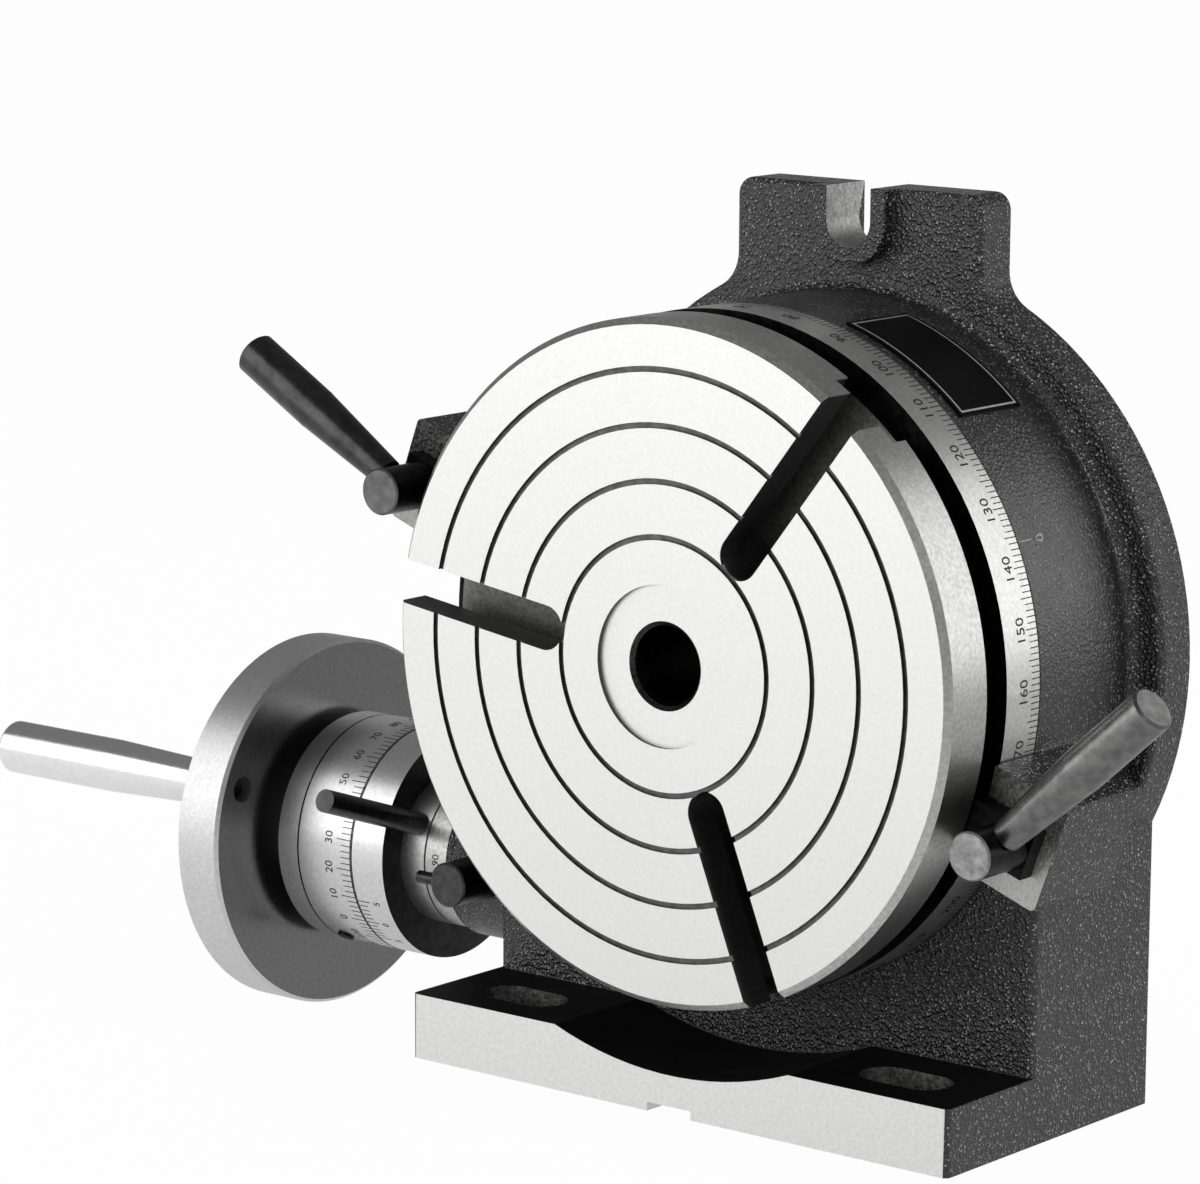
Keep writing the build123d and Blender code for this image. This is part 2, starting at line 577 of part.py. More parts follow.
def key_block():
    """Parallel key, which is also the slot that it fills in shaft and wheel."""
    mid = (DISC_X + OUTER_X) / 2
    z0 = WORM_Z + HANDWHEEL_SHAFT_R - KEY_H / 2
    half = KEY_W / 2
    return box(mid - KEY_L / 2, mid + KEY_L / 2, WORM_DEPTH - half, WORM_DEPTH + half, z0, z0 + KEY_H)


def worm_shaft():
    thrust = INNER_WASHER_X - FACE_RUN / 2
    shaft = cyl_x(WORM_PITCH_R - DEDENDUM, -WINDOW_X, thrust - THRUST_W + SINK) + worm_thread()
    shaft += cyl_x(JOURNAL_BIG_R, SPIGOT_X, -WINDOW_X)
    relief = cyl_x(JOURNAL_BIG_R + EPS, RELIEF_X0, RELIEF_X1)
    shaft -= relief - cyl_x(JOURNAL_BIG_R - RELIEF_D, RELIEF_X0 - EPS, RELIEF_X1 + EPS)
    shaft += cyl_x(WORM_WASHER_R, thrust - THRUST_W, thrust)
    shaft += cyl_x(WORM_SMALL_R, thrust - SINK, OUTER_WASHER_X)
    shaft += cyl_x(WORM_END_R, OUTER_WASHER_X - SINK, LOCK_X + 2 * LOCK_NUT_T + RUN)
    shaft += cyl_x(HANDWHEEL_SHAFT_R, HUB_X + SHAFT_SHORT, SPIGOT_X + SINK)
    shaft += cyl_x(HANDWHEEL_THREAD_R, HUB_X - HW_WASHER_T - HW_NUT_T - SHAFT_STUB, HUB_X + 2 * SHAFT_SHORT)
    return shaft - key_block()


def lever_rod(r, inward, outward):
    """Rod set in the collar, lifted off the sleeve axis and tilted up at the front."""
    seat = sqrt(COLLAR_R ** 2 - LEVER_OFFSET ** 2)
    rod = cyl_y(r, -seat - outward, -seat + inward, z=LEVER_OFFSET)
    return Pos(COLLAR_X + COLLAR_W / 2, SLEEVE_DEPTH, WORM_Z) * Rot(-LEVER_TILT, 0, 0) * rod


def eccentric_sleeve():
    sleeve = cyl_x(SLEEVE_R, NOSE_X - FACE_RUN - SINK, SLEEVE_END_X, SLEEVE_DEPTH)
    sleeve += cyl_x(COLLAR_R, COLLAR_X, NOSE_X - FACE_RUN, SLEEVE_DEPTH)
    sleeve += cyl_x(SPIGOT_SLEEVE_R, SPIGOT_X, COLLAR_X + SINK)
    sleeve -= cyl_x(JOURNAL_BIG_R + RUN, SPIGOT_X - EPS, SHOULDER_X)
    sleeve -= cyl_x(WORM_SMALL_R + RUN, SHOULDER_X - EPS, SLEEVE_END_X + EPS)
    # window for the wheel, wide enough for the swing as well
    above = -WORM_Z - WHEEL_TIP_R
    side0 = degrees(atan2(above, ECC + WHEEL_FACE / 2)) - WINDOW_MARGIN
    side1 = degrees(atan2(above, ECC - WHEEL_FACE / 2)) + ECC_SWING + WINDOW_MARGIN
    sleeve -= sector_x(3 * SLEEVE_R, -WINDOW_X, WINDOW_X, side0, side1)
    # arc groove for the clamp pad, which also limits the swing
    play = degrees(asin((SCLAMP_SHANK_R + TRACK_PLAY) / TRACK_FLOOR_R))
    half = CLAMP_GROOVE_W / 2
    track = sector_x(SLEEVE_R + EPS, SCLAMP_X - half, SCLAMP_X + half, 180 - play, 180 + play + ECC_SWING)
    sleeve -= track - cyl_x(TRACK_FLOOR_R, SCLAMP_X - half - EPS, SCLAMP_X + half + EPS, SLEEVE_DEPTH)
    return sleeve - lever_rod(LEVER_R + THREAD_FIT, LEVER_IN + PIN_END_GAP, FREE)


def worm_washer(x0, shaft_r):
    ring = cyl_x(WORM_WASHER_R, x0, x0 + WORM_WASHER_T)
    return ring - cyl_x(shaft_r + RUN, x0 - EPS, x0 + WORM_WASHER_T + EPS)


def lock_nut(x0):
    nut = cyl_x(LOCK_NUT_R, x0, x0 + LOCK_NUT_T)
    nut -= cyl_x(WORM_END_R + THREAD_FIT, x0 - EPS, x0 + LOCK_NUT_T + EPS)
    for side in (-1, 1):
        y = WORM_DEPTH + side * LOCK_NUT_R
        nut -= box(x0 - EPS, x0 + LOCK_NUT_T + EPS, y - LOCK_NOTCH, y + LOCK_NOTCH,
                   WORM_Z - LOCK_NOTCH, WORM_Z + LOCK_NOTCH)
    return nut


def radial_screw(x, angle, r, low, top):
    """Screw square to the worm's axis, angle from +Z towards -Y."""
    return Pos(x, WORM_DEPTH, WORM_Z) * Rot(angle, 0, 0) * Pos(0, 0, (low + top) / 2) * Cylinder(r, top - low)


def vernier_grub(angle, grow=0.0, top=DIAL_R - SCREW_SUNK):
    low = SPIGOT_SLEEVE_R + RUN
    return radial_screw(COLLAR_X - SPIGOT_W / 2, angle, DIAL_SCREW_R + grow, low, top)


def vernier_ring():
    ring = cyl_x(DIAL_R, VERNIER_X, COLLAR_X)
    ring -= cyl_x(SPIGOT_SLEEVE_R + RUN, VERNIER_X - EPS, COLLAR_X + EPS)
    for angle in VERNIER_GRUBS:
        ring -= vernier_grub(angle, THREAD_FIT, DIAL_R + EPS)
    return ring


# ---------------------------------------------------------------- dial, handwheel, crank
def dial_screw(grow=0.0, top=DIAL_R + DIAL_SCREW_PROUD):
    low = DIAL_BORE_R + RUN
    return radial_screw(DIAL_X + DIAL_SCREW_X, DIAL_SCREW_ANGLE - 90, DIAL_SCREW_R + grow, low, top)


def graduated_dial():
    dial = cyl_x(DIAL_R, DIAL_X, DIAL_END_X)
    dial -= cyl_x(DIAL_BORE_R + RUN, DIAL_X - EPS, DIAL_END_X + EPS)
    line = DIAL_X + DIAL_LINE_X
    ring = cyl_x(DIAL_R + EPS, line, line + DIAL_LINE_W)
    dial -= ring - cyl_x(DIAL_R - DIAL_LINE_D, line - EPS, line + DIAL_LINE_W + EPS)
    return dial - dial_screw(THREAD_FIT, DIAL_R + EPS)


def handwheel():
    wheel = cyl_x(HANDWHEEL_R, OUTER_X, DISC_X)
    wheel = chamfer(wheel.edges().filter_by(GeomType.CIRCLE), HANDWHEEL_CHAMFER)
    wheel += cyl_x(HANDWHEEL_HUB_R, DISC_X - SINK, DIAL_X - FACE_RUN)
    wheel += cyl_x(DIAL_BORE_R, DISC_X - SINK, DIAL_END_X - DIAL_SEAT_SHORT)
    wheel += cyl_x(HANDWHEEL_BOSS_R, HUB_X, OUTER_X + SINK)
    wheel -= cyl_x(HANDWHEEL_SHAFT_R + RUN, HUB_X - EPS, DIAL_END_X)
    wheel -= key_block()
    return wheel - cyl_x(CRANK_THREAD_R + THREAD_FIT, OUTER_X - EPS, DISC_X + EPS, CRANK_Y, CRANK_Z)


def crank_spindle():
    head_x = GRIP_X + CRANK_HEAD_SUNK
    rod = cyl_x(CRANK_SPINDLE_R, head_x + CRANK_HEAD_H - SINK, OUTER_X, CRANK_Y, CRANK_Z)
    rod += cyl_x(CRANK_THREAD_R, OUTER_X - SINK, OUTER_X + CRANK_THREAD_L, CRANK_Y, CRANK_Z)
    rod += cyl_x(CRANK_HEAD_R, head_x, head_x + CRANK_HEAD_H, CRANK_Y, CRANK_Z)
    half = CRANK_SLOT_W / 2
    return rod - box(head_x - EPS, head_x + CRANK_SLOT_D, CRANK_Y - GRIP_R, CRANK_Y + GRIP_R,
                     CRANK_Z - half, CRANK_Z + half)


def crank_grip():
    grip = cyl_x(GRIP_R, GRIP_X, GRIP_X + GRIP_CYL, CRANK_Y, CRANK_Z)
    grip = fillet(grip.edges().filter_by(GeomType.CIRCLE).sort_by(Axis.X)[0], GRIP_END_R)
    grip += cone_x(GRIP_R, GRIP_SMALL_R, GRIP_X + GRIP_CYL, OUTER_X - GRIP_GAP, CRANK_Y, CRANK_Z)
    grip -= cyl_x(CRANK_SPINDLE_R + RUN, GRIP_X - EPS, OUTER_X, CRANK_Y, CRANK_Z)
    head_end = GRIP_X + CRANK_HEAD_SUNK + CRANK_HEAD_H + FACE_RUN
    return grip - cyl_x(CRANK_HEAD_R + HOLE_FREE / 2, GRIP_X - EPS, head_end, CRANK_Y, CRANK_Z)


def handwheel_washer():
    ring = cyl_x(HW_WASHER_R, HUB_X - HW_WASHER_T, HUB_X)
    return ring - cyl_x(HANDWHEEL_THREAD_R + HOLE_FREE, HUB_X - HW_WASHER_T - EPS, HUB_X + EPS)


def handwheel_nut():
    x0 = HUB_X - HW_WASHER_T - HW_NUT_T
    nut = Pos(x0, WORM_DEPTH, WORM_Z) * Rot(0, 90, 0) * hexagon(HW_NUT_AF, HW_NUT_T)
    crown = cyl_x(HW_NUT_AF / sqrt(3), x0, x0 + HW_NUT_T)
    nut &= chamfer(crown.edges().filter_by(GeomType.CIRCLE), HW_NUT_T / 2 - EPS, HW_NUT_CROWN)
    return nut - cyl_x(HANDWHEEL_THREAD_R + THREAD_FIT, x0 - EPS, x0 + HW_NUT_T + EPS)


# ---------------------------------------------------------------- table clamps
def bolt_spot(side, depth=0.0):
    a = radians(CLAMP_ANGLES[side])
    return Pos(CLAMP_R * cos(a), depth, CLAMP_R * sin(a))


def handle_spot(side):
    """Handle's frame: +X runs out along the handle from the bolt's axis."""
    return bolt_spot(side, HANDLE_DEPTH) * about_y(HANDLE_ANGLES[side])


def clamp_bolt(side):
    bolt = cyl_y(CLAMP_HEAD_R, 0, DOG_FRONT)
    bolt = chamfer(front_edge(bolt), CLAMP_EDGE)
    bolt += cyl_y(CLAMP_SHANK_R, DOG_FRONT - SINK, CLAMP_BOSS_FRONT + CLAMP_SHANK_L)
    socket = cyl_x(HANDLE_PIN_R + THREAD_FIT, CLAMP_HEAD_R - HANDLE_PIN_L, 2 * CLAMP_HEAD_R, 0, 0)
    return bolt_spot(side) * bolt - handle_spot(side) * socket


def clamp_handle(side):
    neck = HANDLE_L - HANDLE_GRIP_L
    grip = cyl_x(HANDLE_R1, neck - SINK, HANDLE_L, 0, 0)
    end = grip.edges().filter_by(GeomType.CIRCLE).sort_by(Axis.X)[-1]
    handle = chamfer(end, HANDLE_EDGE) + cone_x(HANDLE_R0, HANDLE_R1, CLAMP_HEAD_R + RUN, neck)
    handle += cyl_x(HANDLE_PIN_R, CLAMP_HEAD_R - HANDLE_PIN_L + PIN_END_GAP, CLAMP_HEAD_R + SINK, 0, 0)
    return handle_spot(side) * handle


def clamp_dog(side):
    """Bar under the bolt head, with a nose that reaches into the table's groove."""
    half = DOG_W / 2
    dog = box(DOG_TIP_R, DOG_TAIL_R, DOG_FRONT, CLAMP_BOSS_FRONT, -half, half)
    nose = box(DOG_TIP_R, CLAMP_R, DOG_FRONT, LEDGE - DOG_GAP, -half, half)
    dog += nose & cyl_y(TABLE_R + FREE - DOG_GAP, 0, BACK)
    dog -= cyl_y(GROOVE_R + DOG_GAP, 0, BACK)
    return about_y(CLAMP_ANGLES[side]) * (dog - cyl_y(CLAMP_SHANK_R + HOLE_FREE, 0, BACK, CLAMP_R))


# ---------------------------------------------------------------- sleeve clamp
def sleeve_clamp_screw():
    seat = SLEEVE_DEPTH - BOSS_R + SCLAMP_SPOT - SCLAMP_HEAD_GAP
    screw = cyl_y(SCLAMP_HEAD_R, SCLAMP_FRONT, seat, SCLAMP_X, WORM_Z)
    screw = chamfer(front_edge(screw), CLAMP_EDGE)
    screw += cyl_y(SCLAMP_SHANK_R, seat - SINK, PAD_BACK - PAD_T, SCLAMP_X, WORM_Z)
    x0 = SCLAMP_X - SCLAMP_HEAD_R
    return screw - cyl_x(SPIN_R + THREAD_FIT, x0 - EPS, x0 + SPIN_IN, SCLAMP_FRONT + SPIN_DEPTH)


def sleeve_clamp_pin():
    x0 = SCLAMP_X - SCLAMP_HEAD_R
    pin = cyl_x(SPIN_R, x0 - SPIN_OUT, x0 + SPIN_IN - PIN_END_GAP, SCLAMP_FRONT + SPIN_DEPTH)
    return chamfer(pin.edges().filter_by(GeomType.CIRCLE).sort_by(Axis.X)[0], SPIN_EDGE)


def sleeve_clamp_pad():
    return cyl_y(SCLAMP_SHANK_R, PAD_BACK - PAD_T, PAD_BACK, SCLAMP_X, WORM_Z)


# ---------------------------------------------------------------- nodes
save("base_casting", base_casting())
save("nameplate", nameplate())
save("table_disc", table_disc())
save("worm_wheel", worm_wheel())
save("wheel_screws", *[turn * wheel_screw() for turn in wheel_screw_turns()])
save("spindle_washer", spindle_washer())
save("spindle_nut", spindle_nut())
save("spindle_nut_grubs", *[about_y(angle) * nut_grub() for angle in GRUB_ANGLES])
save("worm_shaft", worm_shaft())
save("eccentric_sleeve", eccentric_sleeve())
save("eccentric_lever", lever_rod(LEVER_R, LEVER_IN, LEVER_OUT))
save("vernier_ring", vernier_ring())
save("vernier_grubs", *[vernier_grub(angle) for angle in VERNIER_GRUBS])
save("graduated_dial", graduated_dial())
save("dial_screw", dial_screw())
save("handwheel", handwheel())
save("handwheel_key", key_block())
save("handwheel_washer", handwheel_washer())
save("handwheel_nut", handwheel_nut())
save("crank_spindle", crank_spindle())
save("crank_grip", crank_grip())
save("worm_washers", worm_washer(INNER_WASHER_X, WORM_SMALL_R), worm_washer(OUTER_WASHER_X, WORM_END_R))
save("worm_lock_nuts", lock_nut(LOCK_X), lock_nut(LOCK_X + LOCK_NUT_T))
for side in CLAMP_ANGLES:
    save(f"clamp_bolt_{side}", clamp_bolt(side))
    save(f"clamp_handle_{side}", clamp_handle(side))
    save(f"clamp_dog_{side}", clamp_dog(side))
save("sleeve_clamp_screw", sleeve_clamp_screw())
save("sleeve_clamp_pin", sleeve_clamp_pin())
save("sleeve_clamp_pad", sleeve_clamp_pad())
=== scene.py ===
from math import cos, degrees, hypot, radians, sin

import bpy
from mathutils import Matrix, Vector


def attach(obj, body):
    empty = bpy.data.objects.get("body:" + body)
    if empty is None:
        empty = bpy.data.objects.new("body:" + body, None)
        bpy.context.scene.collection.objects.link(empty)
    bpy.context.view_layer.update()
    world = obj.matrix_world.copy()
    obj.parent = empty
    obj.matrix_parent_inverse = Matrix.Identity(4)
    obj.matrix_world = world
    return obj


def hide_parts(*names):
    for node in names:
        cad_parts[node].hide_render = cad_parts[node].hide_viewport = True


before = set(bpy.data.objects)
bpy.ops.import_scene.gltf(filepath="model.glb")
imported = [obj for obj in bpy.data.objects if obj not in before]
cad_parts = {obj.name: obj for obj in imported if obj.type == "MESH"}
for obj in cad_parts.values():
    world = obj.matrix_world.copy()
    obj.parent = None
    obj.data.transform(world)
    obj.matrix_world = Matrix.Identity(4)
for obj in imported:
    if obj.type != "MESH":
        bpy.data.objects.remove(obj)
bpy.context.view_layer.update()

MM = 0.001

# ------------------------------------------------------------------ base casting
# One grey-iron sand casting: foot, block, round housing, rear flange and slotted lug.
# It is sprayed with black enamel over the pebbled sand skin, then the foot's front,
# the slots, the bores and the back are milled bare.
TABLE_AXIS_Z = 100.0
FACE_Y = -41.3             # table face; depths below are measured back from it
FOOT_FRONT_Y = -37.7
BACK_Y = 37.7
DRUM_R = 75.0
DRUM_FRONT_Y = -8.3
FLANGE_FRONT_Y = 26.7
LUG_SLOT_HALF = 6.2
LUG_SLOT_FLOOR_Z = 184.4
LUG_FRONT_Y = 23.3
FOOT_SLOT_X = 53.0
FOOT_SLOT_Y = -23.3
FOOT_TOP_Z = 14.9
FOOT_SLOT_RUN = 5.0        # from a slot's middle to its end's centre
FOOT_SLOT_R = 6.2
KEYWAY_HALF = 6.1          # keyway down the back, half width and floor
KEYWAY_FLOOR_Y = 35.5
FOOT_KEYWAY_HALF = 7.0     # and the one under the foot, with a little room
FOOT_KEYWAY_TOP_Z = 2.1
NOSE_START_X = -90.7
NOSE_TOP_Z = 60.0          # the clamp boss above it reaches as far out
HOUSING_FLOOR_Z = 30.0     # the housing's cavity lies above this
CLAMP_FACE_Y = -23.3
PEBBLE = 0.85              # sand skin's lumps, mm
SPRAY = 0.8                # finer orange peel on the turned housing, mm
ENAMEL_IOR = 1.7           # thick gloss coat
MILL_FEED = 0.9            # drawn coarser than the real 0.2 mm feed so that it shows
WAVE_STEP = 0.16           # this over a feed sets the wave texture's lines two feeds apart
SPREAD = (0.3, 0.7)        # where nearly all of a noise texture's values lie


def linear(hex_colour):
    """sRGB hex to linear RGBA."""
    parts = [int(hex_colour[i:i + 2], 16) / 255 for i in (1, 3, 5)]
    return [p / 12.92 if p < 0.04045 else ((p + 0.055) / 1.055) ** 2.4 for p in parts] + [1.0]


def add(tree, kind, settings=None, **inputs):
    """Adds one shader node. Inputs are named sockets, or _0, _1 by place; a socket is linked."""
    node = tree.nodes.new("ShaderNode" + kind)
    for name, value in (settings or {}).items():
        setattr(node, name, value)
    for name, value in inputs.items():
        socket = node.inputs[int(name[1:]) if name[0] == "_" else name.replace("_", " ")]
        if isinstance(value, bpy.types.NodeSocket):
            tree.links.new(value, socket)
        else:
            socket.default_value = value
    return node


def new_finish(name, metallic=1.0, **sockets):
    """Empty material with a Principled shader; returns its tree, shader and object coordinates."""
    material = bpy.data.materials.new(name)
    material.use_nodes = True
    tree = material.node_tree
    tree.nodes.clear()
    shader = add(tree, "BsdfPrincipled", Metallic=metallic, **sockets)
    add(tree, "OutputMaterial", Surface=shader.outputs["BSDF"])
    return material, tree, shader, add(tree, "TexCoord").outputs["Object"]


def blotches(tree, place, size_mm, low, high, detail=4.0):
    """Noise with lumps of size_mm, spread from low to high."""
    noise = add(tree, "TexNoise", Vector=place, Scale=1 / (size_mm * MM), Detail=detail)
    return add(tree, "MapRange", _0=noise.outputs[0], _1=SPREAD[0], _2=SPREAD[1], _3=low, _4=high).outputs[0]


def shade_between(tree, shader, factor, dark, light):
    ramp = add(tree, "Mix", {"data_type": "RGBA"}, _0=factor)
    ramp.inputs[6].default_value, ramp.inputs[7].default_value = linear(dark), linear(light)
    tree.links.new(ramp.outputs[2], shader.inputs["Base Color"])


def press_in(tree, shader, height, depth_mm, strength=1.0, edge_mm=0.0):
    """Bump of depth_mm; edge_mm also softens the shape's sharp edges."""
    bump = add(tree, "Bump", Strength=strength, Distance=depth_mm * MM, Height=height)
    if edge_mm:
        edge = add(tree, "Bevel", {"samples": 4}, Radius=edge_mm * MM)
        tree.links.new(edge.outputs[0], bump.inputs["Normal"])
    tree.links.new(bump.outputs[0], shader.inputs["Normal"])


def cast_enamel(name, lump_mm, depth_mm, dark, light, roughness, level=0.5, ior=ENAMEL_IOR):
    """Black enamel on a cast skin: glossy, and each lump's top is coloured paler as a painted highlight (painted
    glints).
    """
    material, tree, shader, place = new_finish(name, metallic=0.0, IOR=ior, Specular_IOR_Level=level)
    lumps = add(tree, "TexVoronoi", {"feature": "SMOOTH_F1"}, Vector=place, Scale=1 / (lump_mm * MM),
                Smoothness=0.3)
    grain = add(tree, "TexNoise", Vector=place, Scale=1.6 / (lump_mm * MM), Detail=2.0)
    skin = add(tree, "Math", {"operation": "MULTIPLY_ADD"}, _0=lumps.outputs[0], _1=-1.0,
               _2=grain.outputs[0])
    press_in(tree, shader, skin.outputs[0], depth_mm, edge_mm=0.9)
    # Painted highlight: the lumps' tops take the pale colour in place of glints of light.
    painted_glint_tops = add(tree, "MapRange", _0=skin.outputs[0], _1=0.22, _2=0.5, _3=0.0, _4=1.0)
    shade_between(tree, shader, painted_glint_tops.outputs[0], dark, light)
    tree.links.new(blotches(tree, place, 9, roughness - 0.04, roughness + 0.06), shader.inputs["Roughness"])
    return material


def milled_iron(name, along, dark, light, roughness):
    """Bare grey iron from a milling cutter: pale, a little mottled, with feed lines."""
    material, tree, shader, place = new_finish(name)
    lines = add(tree, "TexWave", {"bands_direction": along}, Vector=place, Scale=WAVE_STEP / (MILL_FEED * MM),
                Distortion=1.5, Detail=2.0)
    press_in(tree, shader, lines.outputs[0], 0.02, 0.5)
    shade_between(tree, shader, blotches(tree, place, 0.8, 0, 1, 3), dark, light)
    sheen = blotches(tree, place, 1.5, roughness - 0.04, roughness + 0.04)
    tree.links.new(sheen, shader.inputs["Roughness"])
    return material


def clamp_seat(name, bolt_z, dark, light):
    """Spot-milled seat under a table clamp: bare below the bolt, darker towards its top as painted shade under
    the lever and the table's rim.
    """
    material, tree, shader, place = new_finish(name, Roughness=0.5)
    # Painted shade: the colour darkens from the bolt upwards.
    rise = add(tree, "SeparateXYZ", _0=place).outputs[2]
    up = add(tree, "MapRange", _0=rise, _1=(bolt_z - 6) * MM, _2=(bolt_z + 2) * MM, _3=0.0, _4=0.8)
    flecks = blotches(tree, place, 0.7, -0.25, 0.25, 3)
    factor = add(tree, "Math", {"operation": "ADD", "use_clamp": True}, _0=up.outputs[0], _1=flecks)
    shade_between(tree, shader, factor.outputs[0], light, dark)
    press_in(tree, shader, flecks, 0.12)
    return material


def dressed(node, body, finishes, choose):
    """Copy of a CAD node, each face in the finish that choose(centre in mm, normal) names."""
    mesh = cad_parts[node].data.copy()
    mesh.materials.clear()
    names = list(finishes)
    for finish in finishes.values():
        mesh.materials.append(finish)
    for face in mesh.polygons:
        face.material_index = names.index(choose(face.center / MM, face.normal))
    piece = bpy.data.objects.new(node + "_finished", mesh)
    bpy.context.scene.collection.objects.link(piece)
    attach(piece, body)
    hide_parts(node)
    return piece


def casting_face(c, n):
    out = hypot(c.x, c.z - TABLE_AXIS_Z)
    outward = (c.x * n.x + (c.z - TABLE_AXIS_Z) * n.z) / max(out, 1.0)
    if abs(c.x) < KEYWAY_HALF and c.y > KEYWAY_FLOOR_Y and n.y > 0.9:
        return "milled"
    if c.y < FOOT_FRONT_Y + 0.1 and n.y < -0.9 or c.y > BACK_Y - 0.1:
        return "milled"
    if c.z < FOOT_KEYWAY_TOP_Z and (n.z < -0.9 or abs(c.x) < FOOT_KEYWAY_HALF):
        return "milled"
    if abs(c.x) < LUG_SLOT_HALF and c.z > LUG_SLOT_FLOOR_Z and c.y > LUG_FRONT_Y and abs(n.y) < 0.5:
        return "lug_slot"
    slot_run = hypot(max(abs(abs(c.x) - FOOT_SLOT_X) - FOOT_SLOT_RUN, 0.0), c.y - FOOT_SLOT_Y)
    if slot_run < FOOT_SLOT_R and c.z < FOOT_TOP_Z + 0.2 and abs(n.z) < 0.5:
        return "slot"
    if abs(c.y - CLAMP_FACE_Y) < 0.1 and n.y < -0.9 and out > DRUM_R:
        return "right_seat" if c.x > 0 else "left_seat"
    if abs(out - DRUM_R) < 1.5 and c.y < FLANGE_FRONT_Y and outward > 0.9:
        return "housing"
    inside = out < DRUM_R - 0.3 and c.y > DRUM_FRONT_Y - 0.1 and c.z > HOUSING_FLOOR_Z
    if inside or c.x < NOSE_START_X and c.z < NOSE_TOP_Z:
        return "bored"
    if c.z < FOOT_TOP_Z + 0.3 and n.z > 0.3:
        return "hollow"
    return "skin"


casting_finishes = {
    "skin": cast_enamel("black_enamel_on_sand_skin", PEBBLE, 0.38, "#121214", "#B8BABC", 0.22),
    "housing": cast_enamel("black_enamel_sprayed", SPRAY, 0.12, "#1C1C1E", "#8A8C8E", 0.28),
    "hollow": cast_enamel("black_enamel_smooth", SPRAY, 0.03, "#020202", "#060607", 0.5, 0.2, 1.4),
    "milled": milled_iron("milled_grey_iron", "X", "#E6E6E4", "#F5F5F3", 0.5),
    # The left seat is coloured darker than the right: painted shade.
    "right_seat": clamp_seat("right_clamp_seat_painted_shade", 70.7, "#5A5A59", "#BEBEBC"),
    "left_seat": clamp_seat("left_clamp_seat_painted_deeper_shade", 129.3, "#1E1E1E", "#A8A8A6"),
    "lug_slot": milled_iron("lug_slot_iron", "Y", "#8E8E8C", "#BEBEBC", 0.5),
    # The foot slots' milled walls are coloured darker than the other milled faces: painted shade inside the
    # slots.
    "slot": milled_iron("slot_wall_iron_painted_shade", "X", "#3A3A39", "#8E8E8C", 0.5),
    "bored": milled_iron("bored_grey_iron", "X", "#B4B4B2", "#D6D6D4", 0.38),
}
dressed("base_casting", "base", casting_finishes, casting_face)

# ------------------------------------------------------------------ nameplate
# Thin aluminium plate bent to the housing, anodised black, left blank.
# A bright line was etched round it, set in from its edge.
PLATE_R = 75.5
PLATE_FRONT_Y = -5.3
PLATE_WIDTH = 22.0
PLATE_FROM, PLATE_TO = 46.9, 73.9
BORDER_INSET = 0.9
BORDER_WIDTH = 0.5
INK_PROUD = 0.03           # etched and filled marks stand this far off their surface


def give(node, finish):
    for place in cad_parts[node].material_slots:
        place.material = finish


def satin_metal(name, dark, light, roughness, metallic=1.0, mottle_mm=2.0, uneven=0.02, depth_mm=0.01):
    """Plain metal with a faint grain, mottled by handling."""
    material, tree, shader, place = new_finish(name, metallic)
    shade_between(tree, shader, blotches(tree, place, mottle_mm, 0, 1, 5), dark, light)
    sheen = blotches(tree, place, 3, roughness - uneven, roughness + uneven)
    tree.links.new(sheen, shader.inputs["Roughness"])
    press_in(tree, shader, add(tree, "TexNoise", Vector=place, Scale=1 / (1.2 * MM)).outputs[0], depth_mm)
    return material


def painted_marks(name, body, finish, strips, numbers=()):
    """One mesh of marks: strips are four corners each, numbers are (text, height, place(u, v))."""
    points, faces = [], []
    for corners in strips:
        faces.append(tuple(range(len(points), len(points) + 4)))
        points += corners
    for text, height, place in numbers:
        curve = bpy.data.curves.new("number", "FONT")
        curve.body, curve.align_x, curve.align_y = text, "CENTER", "CENTER"
        curve.resolution_u = 3
        shape = bpy.data.objects.new("number", curve)
        mesh = bpy.data.meshes.new_from_object(shape)
        tall = max(v.co.y for v in mesh.vertices) - min(v.co.y for v in mesh.vertices)
        middle = (max(v.co.y for v in mesh.vertices) + min(v.co.y for v in mesh.vertices)) / 2
        start = len(points)
        points += [place(v.co.x * height / tall, (v.co.y - middle) * height / tall) for v in mesh.vertices]
        faces += [tuple(start + i for i in f.vertices) for f in mesh.polygons]
        bpy.data.objects.remove(shape)
        bpy.data.meshes.remove(mesh)
        bpy.data.curves.remove(curve)
    mesh = bpy.data.meshes.new(name)
    mesh.from_pydata([Vector(p) * MM for p in points], [], faces)
    mesh.materials.append(finish)
    piece = bpy.data.objects.new(name, mesh)
    bpy.context.scene.collection.objects.link(piece)
    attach(piece, body)
    return piece


def on_table(radius, angle, y):
    """Point round the table's axis; the angle runs from +X up towards +Z."""
    a = radians(angle)
    return (radius * cos(a), y, TABLE_AXIS_Z + radius * sin(a))


def plate_strip(a0, a1, y0, y1):
    steps = max(1, int((a1 - a0) / 1.5))
    cuts = [a0 + (a1 - a0) * k / steps for k in range(steps + 1)]
    r = PLATE_R + INK_PROUD
    return [[on_table(r, a, y0), on_table(r, b, y0), on_table(r, b, y1), on_table(r, a, y1)]
            for a, b in zip(cuts, cuts[1:])]


